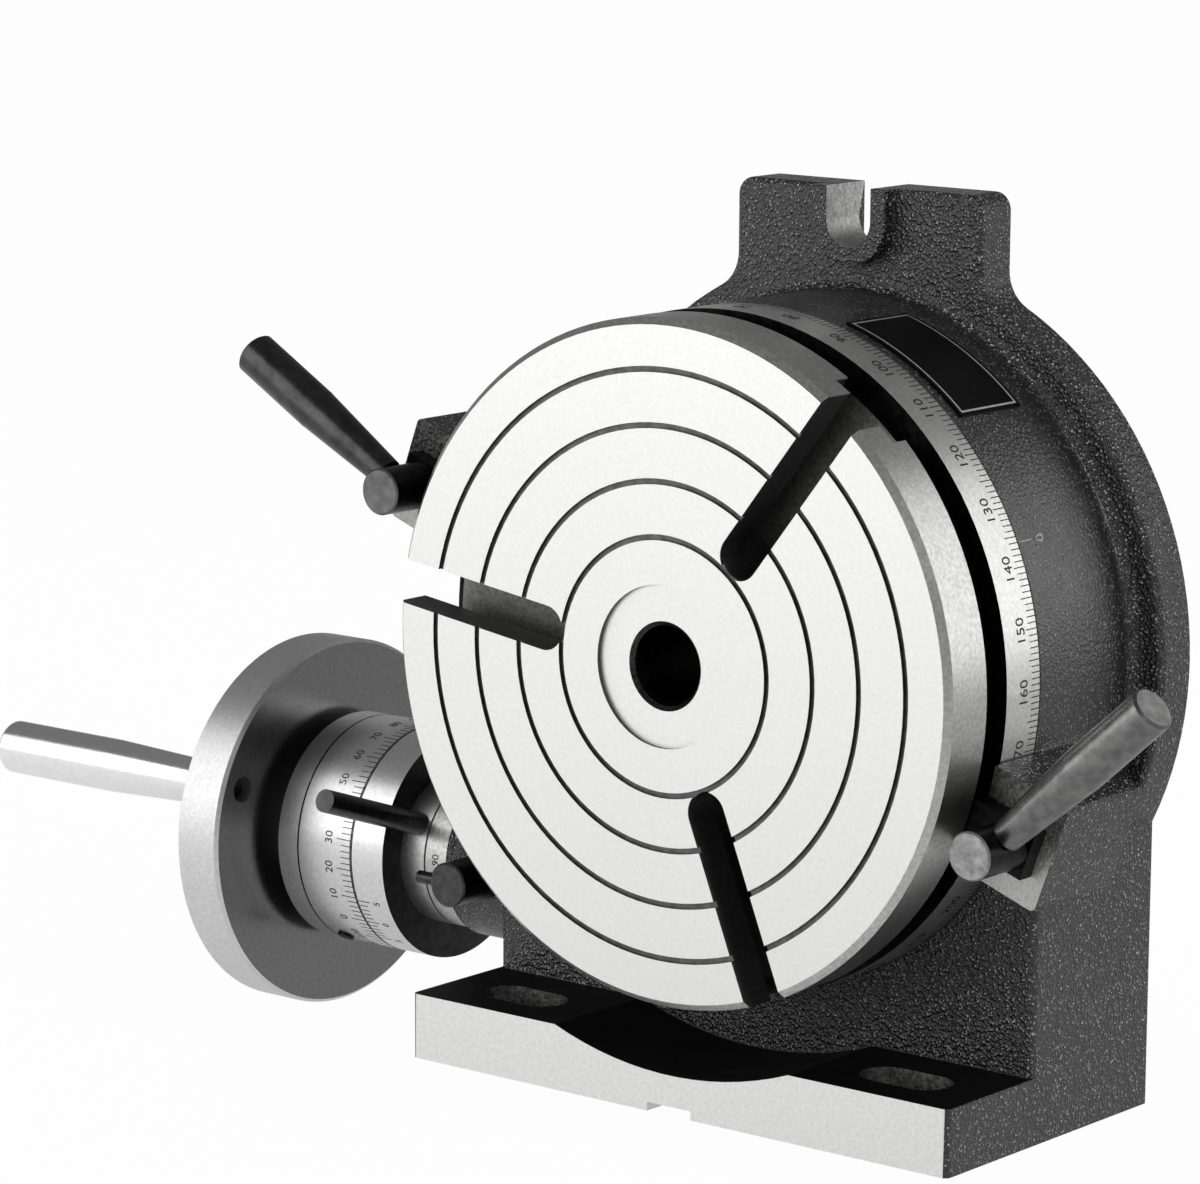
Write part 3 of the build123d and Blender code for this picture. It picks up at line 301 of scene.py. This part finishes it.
give("nameplate", satin_metal("black_anodised_aluminium", "#0A0A0A", "#161616", 0.42))
turn = degrees(1 / PLATE_R)
inner = (PLATE_FROM + BORDER_INSET * turn, PLATE_TO - BORDER_INSET * turn,
         PLATE_FRONT_Y + BORDER_INSET, PLATE_FRONT_Y + PLATE_WIDTH - BORDER_INSET)
border = plate_strip(inner[0], inner[1], inner[2], inner[2] + BORDER_WIDTH)
border += plate_strip(inner[0], inner[1], inner[3] - BORDER_WIDTH, inner[3])
border += plate_strip(inner[0], inner[0] + BORDER_WIDTH * turn, inner[2], inner[3])
border += plate_strip(inner[1] - BORDER_WIDTH * turn, inner[1], inner[2], inner[3])
etched = satin_metal("etched_bare_aluminium", "#D8D8D8", "#F2F2F2", 0.5)
painted_marks("nameplate_border", "base", etched, border)

# ------------------------------------------------------------------ table
# Turned and surface-ground iron disc with three milled T-slots and four scribed circles.
# Behind its rim runs a groove for the clamps, then a ring divided in degrees.
FACE_FEED = 0.8            # turning lines, coarser than the real ones so that they show
RIM_END = 13.4
GROOVE_END = 20.7
RING_END = 32.7
SLOT_FLOOR = 17.0
RECESS_R = 17.9
BORE_R = 10.0


def turned_metal(name, axis, centre, dark, light, roughness, feed_mm=FACE_FEED, depth_mm=0.006):
    """Lathe-turned metal: rings round one axis, with a fine even grain."""
    material, tree, shader, place = new_finish(name)
    local = add(tree, "Mapping", _0=place, _1=[-v * MM for v in centre])
    rings = add(tree, "TexWave", {"wave_type": "RINGS", "rings_direction": axis}, Vector=local.outputs[0],
                Scale=WAVE_STEP / (feed_mm * MM), Distortion=0.6, Detail=1.0)
    press_in(tree, shader, rings.outputs[0], depth_mm, 0.6)
    shade_between(tree, shader, blotches(tree, place, 0.9, 0, 1, 3), dark, light)
    tree.links.new(blotches(tree, place, 4, roughness - 0.01, roughness + 0.01), shader.inputs["Roughness"])
    return material


def table_face(c, n):
    depth = c.y - FACE_Y
    out = hypot(c.x, c.z - TABLE_AXIS_Z)
    outward = (n.x * c.x + n.z * (c.z - TABLE_AXIS_Z)) / max(out, 0.01)
    if out > DRUM_R - 1.7 and depth < RIM_END + 0.05 and (outward > 0.3 or n.y > 0.9):
        return "rim"
    if depth < 0.05 or depth < 1.1 and out < RECESS_R and n.y < -0.5:
        return "face"
    if depth < 1.0 and out > RECESS_R:
        return "circle"
    if out < BORE_R and depth < RING_END:
        return "bore"
    if depth > GROOVE_END - 0.1 and out > DRUM_R - 0.2:
        return "degree"
    if depth < SLOT_FLOOR + 0.1 and n.y < -0.9 and depth > SLOT_FLOOR - 0.2:
        return "floor"
    if depth < SLOT_FLOOR + 0.1 and not (out > 70 and abs(outward) > 0.95):
        return "slot"
    return "groove" if depth < GROOVE_END + 0.1 else "back"


iron_centre = (0.0, 0.0, TABLE_AXIS_Z)
table_finishes = {
    "face": turned_metal("ground_iron_face", "Y", iron_centre, "#EAEAE8", "#F2F2F0", 0.42),
    "rim": turned_metal("turned_iron_rim", "Y", iron_centre, "#B8B8B7", "#D8D8D6", 0.34),
    "degree": turned_metal("satin_degree_ring", "Y", iron_centre, "#CFCFCD", "#E8E8E6", 0.38),
    "circle": satin_metal("scribed_circle", "#5A5A5A", "#7A7A7A", 0.5),
    # The groove behind the rim is coloured near black: painted shade in the deep groove.
    "groove": satin_metal("dark_groove_painted_shade", "#101010", "#262626", 0.5),
    "bore": turned_metal("reamed_bore", "Y", iron_centre, "#2A2A2A", "#4A4A4A", 0.35),
    # The T-slots' walls are coloured near black and their floors grey: painted shade inside the slots.
    "slot": cast_enamel("slot_walls_painted_shade", 1.1, 0.12, "#1C1C1C", "#3A3A3A", 0.4),
    "floor": milled_iron("slot_floor_painted_shade", "X", "#6A6A68", "#8E8E8C", 0.5),
    "back": milled_iron("table_back", "X", "#A8A8A6", "#C8C8C6", 0.45),
}
dressed("table_disc", "table", table_finishes, table_face)

TICK_WIDTH = 0.22
TICK_LENGTH = 2.9
DIGIT = 2.8
NUMBER_Y = -14.4           # middle of the digits
ZERO_ANGLE = 160.0         # the ring's zero, counted down as the angle grows
ring_r = DRUM_R + INK_PROUD
ring_back_y = FACE_Y + RING_END
half_tick = degrees(TICK_WIDTH / 2 / DRUM_R)
ticks = []
for degree in range(360):
    long = TICK_LENGTH + (0.9 if degree % 5 == 0 else 0.0)
    ticks.append([on_table(ring_r, degree - half_tick, ring_back_y - long),
                  on_table(ring_r, degree + half_tick, ring_back_y - long),
                  on_table(ring_r, degree + half_tick, ring_back_y),
                  on_table(ring_r, degree - half_tick, ring_back_y)])
numbers = [(str(n), DIGIT,
            lambda u, v, a=ZERO_ANGLE - n: on_table(ring_r, a + degrees(u / DRUM_R), NUMBER_Y - v))
           for n in range(0, 360, 10)]
ink = satin_metal("black_filled_marks", "#0C0C0C", "#1C1C1C", 0.6, metallic=0.0)
painted_marks("degree_marks", "table", ink, ticks, numbers)

# Index on the housing: one scribed line with a zero beside it, filled grey.
INDEX_ANGLE = 24.0
INDEX_LENGTH = 5.0
INDEX_DIGIT = 2.6
INDEX_DIGIT_Y = DRUM_FRONT_Y + 8.0
drum_r = DRUM_R + INK_PROUD
pale = satin_metal("grey_filled_marks", "#8A8A8A", "#A8A8A8", 0.6, metallic=0.0)
index = [[on_table(drum_r, INDEX_ANGLE - half_tick, DRUM_FRONT_Y + 0.4),
          on_table(drum_r, INDEX_ANGLE + half_tick, DRUM_FRONT_Y + 0.4),
          on_table(drum_r, INDEX_ANGLE + half_tick, DRUM_FRONT_Y + INDEX_LENGTH),
          on_table(drum_r, INDEX_ANGLE - half_tick, DRUM_FRONT_Y + INDEX_LENGTH)]]
index_zero = [("0", INDEX_DIGIT,
               lambda u, v: on_table(drum_r, INDEX_ANGLE + degrees(u / DRUM_R), INDEX_DIGIT_Y - v))]
painted_marks("index_mark", "base", pale, index, index_zero)

# ------------------------------------------------------------------ wheel, spindle end, screws
# Hobbed bronze worm wheel held by black-oxide cap screws; turned nut and ground washer.
# All of it sits inside the housing and shows only from behind.
give("worm_wheel", turned_metal("hobbed_bronze", "Y", iron_centre, "#A9854A", "#C7A264", 0.32))
black_oxide = satin_metal("black_oxide_screws", "#151515", "#2A2A2A", 0.42)
for node in ("wheel_screws", "spindle_nut_grubs", "vernier_grubs", "dial_screw"):
    give(node, black_oxide)
turned_nut = turned_metal("turned_steel_nut", "Y", iron_centre, "#8F8F90", "#B5B5B6", 0.35)
give("spindle_nut", turned_nut)
give("spindle_washer", satin_metal("ground_washer", "#9C9C9D", "#BDBDBE", 0.3))

# ------------------------------------------------------------------ worm and sleeve
# Case-hardened worm shaft in an eccentric steel sleeve; the collar and the casting's nose
# are turned together and scribed with a line.
WORM_Y, WORM_Z = 14.7, 35.625
SLEEVE_Y = 11.9
worm_centre = (0.0, WORM_Y, WORM_Z)
sleeve_centre = (0.0, SLEEVE_Y, WORM_Z)
bright_turned = turned_metal("turned_steel_shaft", "X", worm_centre, "#9A9A9B", "#C2C2C3", 0.28)
for node in ("worm_shaft", "worm_lock_nuts", "worm_washers",
             "handwheel_washer", "handwheel_nut", "handwheel_key"):
    give(node, bright_turned)
give("eccentric_sleeve",
     turned_metal("turned_steel_collar", "X", sleeve_centre, "#BEBEBE", "#DEDEDE", 0.36))

# ------------------------------------------------------------------ vernier ring and dial
# Turned steel rings with a satin plating, divided on a dividing engine and inked black.
# One dial turn moves the table 4 degrees, so its 24 numbers count 10 minutes each.
DIAL_R = 27.3
DIAL_TICK_X = -115.3       # ticks' inner end
DIAL_TICK = 3.0
DIAL_NUMBER_X = -122.2
DIAL_DIGIT = 2.2
DIAL_ZERO = 217.0
VERNIER_TICK_X = -114.6
VERNIER_X = -110.4
VERNIER_TICK = 2.4
VERNIER_PITCH = 2.75       # degrees, a little under the dial's 3
VERNIER_DIGIT = 1.8
LINE_X = -132.1            # inner edge of the dial's scribed line
LINE_WIDTH = 0.6
LINE_FLOOR_R = 25.0
FINE_FEED = 0.6            # again drawn coarser than the real one
plated = turned_metal("satin_plated_dial", "X", worm_centre, "#D8D8D8", "#EAEAEA", 0.32, FINE_FEED, 0.003)
# The vernier ring's end face is coloured dark grey as a painted reflection of the black casting beside it; the
# dial's scribed line takes the same dark grey.
shaded = satin_metal("dark_line_and_painted_reflection", "#2A2A2A", "#3C3C3C", 0.5)


def dial_face(c, n):
    outside = hypot(c.y - WORM_Y, c.z - WORM_Z) > LINE_FLOOR_R
    return "line" if outside and LINE_X < c.x < LINE_X + LINE_WIDTH else "plated"


dressed("graduated_dial", "dial", {"plated": plated, "line": shaded}, dial_face)
dressed("vernier_ring", "sleeve", {"plated": plated, "end": shaded},
        lambda c, n: "end" if n.x > 0.9 else "plated")


def on_dial(radius, angle, x):
    """Point round the worm's axis; the angle runs from the back (+Y) up towards +Z."""
    a = radians(angle)
    return (x, WORM_Y + radius * cos(a), WORM_Z + radius * sin(a))


def dial_line(angle, x0, x1, width=0.2):
    half, r = degrees(width / 2 / DIAL_R), DIAL_R + INK_PROUD
    return [on_dial(r, angle - half, x0), on_dial(r, angle + half, x0),
            on_dial(r, angle + half, x1), on_dial(r, angle - half, x1)]


def dial_number(text, height, angle, x):
    return (text, height, lambda u, v: on_dial(DIAL_R + INK_PROUD, angle - degrees(u / DIAL_R), x - v))


def joint_line(radius, y, x0, x1):
    """Dark line of old oil all round a joint, as short strips about an axis along X."""
    ring = [(y + radius * cos(radians(a)), WORM_Z + radius * sin(radians(a))) for a in range(0, 361, 5)]
    return [[(x0, *p), (x0, *q), (x1, *q), (x1, *p)] for p, q in zip(ring, ring[1:])]


dial_ticks = [dial_line(DIAL_ZERO + 3 * k, DIAL_TICK_X,
                        DIAL_TICK_X - DIAL_TICK - (1.4 if k % 5 == 0 else 0))
              for k in range(120)]
dial_ticks += joint_line(DIAL_R + INK_PROUD, WORM_Y, -115.5, -115.1)
dial_numbers = [dial_number(str(10 * k), DIAL_DIGIT, DIAL_ZERO - 15 * k, DIAL_NUMBER_X) for k in range(24)]
painted_marks("dial_marks", "dial", ink, dial_ticks, dial_numbers)
vernier_ticks = [dial_line(DIAL_ZERO + VERNIER_PITCH * k, VERNIER_TICK_X,
                           VERNIER_TICK_X + VERNIER_TICK + (1.0 if k % 5 == 0 else 0))
                 for k in range(-5, 6)]
vernier_numbers = [dial_number(text, VERNIER_DIGIT, DIAL_ZERO + VERNIER_PITCH * step, VERNIER_X + 1.4)
                   for text, step in (("0", 0), ("5", 5), ("5", -5))]
painted_marks("vernier_marks", "sleeve", ink, vernier_ticks, vernier_numbers)

# The collar's joint with the nose is dark with oil, and the nose carries a plain number
# for the worm's working position.
COLLAR_R = 18.0
NOSE_NUMBER_X, NOSE_NUMBER_ANGLE = -94.6, 176.0
NOSE_DIGIT = 2.0


def on_nose(radius, angle, x):
    a = radians(angle)
    return (x, SLEEVE_Y + radius * cos(a), WORM_Z + radius * sin(a))


nose_r = COLLAR_R + INK_PROUD
painted_marks("collar_joint_line", "sleeve", ink, joint_line(nose_r, SLEEVE_Y, -98.1, -97.66))
nose_number = [("90", NOSE_DIGIT,
                lambda u, v: on_nose(nose_r, NOSE_NUMBER_ANGLE - degrees(u / COLLAR_R), NOSE_NUMBER_X - v))]
painted_marks("nose_number", "base", ink, [], nose_number)

# ------------------------------------------------------------------ handwheel
# Solid steel wheel, faced and turned bright all over, with a tapped hole for the crank.
HUB_X = -155.0             # the crank's thread lies inside the wheel beyond this
# The wheel's flat faces are a darker copy of the rim's turned steel: painted shade and painted reflection of the
# dark casting they face.
wheel_finishes = {
    "rim": turned_metal("turned_handwheel_rim", "X", worm_centre, "#D2D2D2", "#E4E4E4", 0.4, FACE_FEED, 0.004),
    "face": turned_metal("turned_handwheel_face_painted_shade", "X", worm_centre, "#747474", "#828282", 0.24, FACE_FEED, 0.004),
}
dressed("handwheel", "worm", wheel_finishes, lambda c, n: "face" if abs(n.x) > 0.9 else "rim")

# ------------------------------------------------------------------ crank
# Tapered steel grip, polished, that turns on a shouldered spindle screwed into the wheel.
polished = satin_metal("polished_steel_grip", "#ECECED", "#F4F4F5", 0.2)
shadowed = satin_metal("threaded_end_painted_shade", "#141414", "#3A3A3A", 0.4)
give("crank_grip", polished)
# The spindle's thread end, sunk in the wheel's tapped hole, is coloured near black: painted shade in the hole.
dressed("crank_spindle", "worm", {"polished": polished, "thread": shadowed},
        lambda c, n: "thread" if c.x > HUB_X else "polished")

# ------------------------------------------------------------------ table clamps
# Black-oxide steel levers pinned in turned bolts; each bolt presses a short forged dog
# into the groove behind the table's rim. The right lever is coloured paler than the left as painted light.
# Painted light: the right lever is the same black-oxide steel as the left, coloured paler.
lever_painted_light = satin_metal("black_oxide_lever_painted_light", "#6C6C6C", "#8A8A89", 0.27, mottle_mm=2.5, depth_mm=0.01)
dark_lever = satin_metal("black_oxide_lever", "#3E3E3E", "#545454", 0.3, mottle_mm=3.0, depth_mm=0.005)
# The three turned ends are one steel at three levels: painted light on the right bolt, painted shade on the left
# bolt and deeper painted shade on the sleeve clamp screw.
bolt_end_painted_shade = satin_metal("turned_bolt_end_painted_shade", "#5C5C5C", "#7A7A7A", 0.42)
bolt_end_painted_light = satin_metal("turned_bolt_end_painted_light", "#7E7E7E", "#B2B2B2", 0.42)
black_bolt = satin_metal("black_oxide_bolt", "#141414", "#2A2A2A", 0.35)
screw_end_painted_shade = satin_metal("turned_screw_end_painted_shade", "#444444", "#585858", 0.42)
give("clamp_handle_right", lever_painted_light)
give("clamp_handle_left", dark_lever)
for node, body, end in (("clamp_bolt_right", "right_clamp", bolt_end_painted_light),
                        ("clamp_bolt_left", "left_clamp", bolt_end_painted_shade),
                        ("sleeve_clamp_screw", "sleeve_clamp", screw_end_painted_shade)):
    dressed(node, body, {"end": end, "side": black_bolt},
            lambda c, n: "end" if n.y < -0.5 else "side")
dog_steel = satin_metal("black_oxide_dog", "#161616", "#262626", 0.4)
give("clamp_dog_right", dog_steel)
give("clamp_dog_left", dog_steel)

# ------------------------------------------------------------------ sleeve clamp and lever
# Small tee screw in the worm boss, its brass pad, and the black rod that swings the sleeve.
give("eccentric_lever", dark_lever)
give("sleeve_clamp_pin", satin_metal("black_oxide_pin", "#2A2A2A", "#585858", 0.3))
give("sleeve_clamp_pad", satin_metal("turned_brass_pad", "#A98B4A", "#C9AA62", 0.35))

# ------------------------------------------------------------------ floor, light and camera
# Plain pale floor, soft lamps, and a long lens. The floor clears the handwheel's rim also
# when the sleeve is swung down.
FLOOR_Z = -11.8
FLOOR_REACH = 4000.0
floor_mesh = bpy.data.meshes.new("floor")
corners = ((-1, -1), (1, -1), (1, 1), (-1, 1))
floor_mesh.from_pydata([Vector((x * FLOOR_REACH, y * FLOOR_REACH, FLOOR_Z)) * MM for x, y in corners],
                       [], [(0, 1, 2, 3)])
floor = bpy.data.objects.new("floor", floor_mesh)
bpy.context.scene.collection.objects.link(floor)
floor_paint = bpy.data.materials.new("pale_floor")
floor_paint.use_nodes = True
tree = floor_paint.node_tree
tree.nodes.clear()
matte = add(tree, "BsdfDiffuse", Color=linear("#E6E6E6"))
path = add(tree, "LightPath")
# Painted light: in reflections the floor glows brighter towards the front left and dimmer towards the back right.
painted_light_reach = add(tree, "VectorMath", {"operation": "DOT_PRODUCT"}, _0=add(tree, "TexCoord").outputs["Object"],
           _1=(-0.9, -0.44, 0.0))
painted_floor_light = add(tree, "MapRange", _0=painted_light_reach.outputs["Value"], _1=-0.5, _2=0.3, _3=0.2, _4=1.0)
glow = add(tree, "Mix", {"data_type": "FLOAT"}, _0=path.outputs["Is Camera Ray"], _2=painted_floor_light.outputs[0], _3=1.0)
white = add(tree, "Emission", Color=(1, 1, 1, 1), Strength=glow.outputs[0])
seen = add(tree, "Math", {"operation": "MAXIMUM"}, _0=path.outputs["Is Camera Ray"],
           _1=path.outputs["Is Glossy Ray"])
share = add(tree, "Mix", {"data_type": "FLOAT"}, _0=path.outputs["Is Glossy Ray"], _2=0.97, _3=0.6)
share = add(tree, "Math", {"operation": "MULTIPLY"}, _0=seen.outputs[0], _1=share.outputs[0])
mixed = add(tree, "MixShader", _0=share.outputs[0], _1=matte.outputs[0], _2=white.outputs[0])
add(tree, "OutputMaterial", Surface=mixed.outputs[0])
floor_mesh.materials.append(floor_paint)

world = bpy.data.worlds.new("studio")
bpy.context.scene.world = world
world.use_nodes = True
tree = world.node_tree
tree.nodes.clear()
path = add(tree, "LightPath")
height = add(tree, "SeparateXYZ", _0=add(tree, "TexCoord").outputs["Generated"]).outputs[2]
wall = add(tree, "MapRange", _0=height, _1=0.0, _2=0.15, _3=0.45, _4=0.17)
glow = add(tree, "Mix", {"data_type": "FLOAT"}, _0=path.outputs["Is Glossy Ray"],
           _2=0.5, _3=wall.outputs[0])
ambient = add(tree, "Background", Color=(1, 1, 1, 1), Strength=glow.outputs[0])
backdrop = add(tree, "Background", Color=(1, 1, 1, 1), Strength=1.0)
mixed = add(tree, "MixShader", _0=path.outputs["Is Camera Ray"],
            _1=ambient.outputs[0], _2=backdrop.outputs[0])
add(tree, "OutputWorld", Surface=mixed.outputs[0])


def softbox(name, place, aim, width, tall, watts):
    lamp = bpy.data.lights.new(name, "AREA")
    lamp.shape, lamp.size, lamp.size_y, lamp.energy = "RECTANGLE", width, tall, watts
    holder = bpy.data.objects.new(name, lamp)
    bpy.context.scene.collection.objects.link(holder)
    holder.location = place
    holder.rotation_euler = (Vector(aim) - Vector(place)).to_track_quat("-Z", "Y").to_euler()
    holder.visible_camera = False


softbox("key_left_front", (-0.8, -1.4, 0.72), (0, 0, 0.1), 2.0, 1.4, 14)
softbox("panel_right_back", (0.75, 0.95, 0.42), (0.05, 0, 0.12), 0.9, 0.85, 3.2)
softbox("fill_right", (1.3, -0.3, 0.9), (0, 0, 0.08), 0.3, 0.3, 6)

lens = bpy.data.cameras.new("camera")
lens.lens, lens.sensor_width = 153.7, 36.0
camera = bpy.data.objects.new("camera", lens)
bpy.context.scene.collection.objects.link(camera)
azimuth, elevation, roll = radians(39.03), radians(10.24), radians(0.354)
back = Vector((sin(azimuth) * cos(elevation), -cos(azimuth) * cos(elevation), sin(elevation)))
level = Vector((cos(azimuth), sin(azimuth), 0.0))
upright = back.cross(level)
right = cos(roll) * level + sin(roll) * upright
up = cos(roll) * upright - sin(roll) * level
turned = Matrix((right, up, back)).transposed().to_4x4()
camera.matrix_world = Matrix.Translation((0.6662, -0.8843, 0.3103)) @ turned
bpy.context.scene.camera = camera
bpy.context.scene.view_settings.view_transform = "Standard"
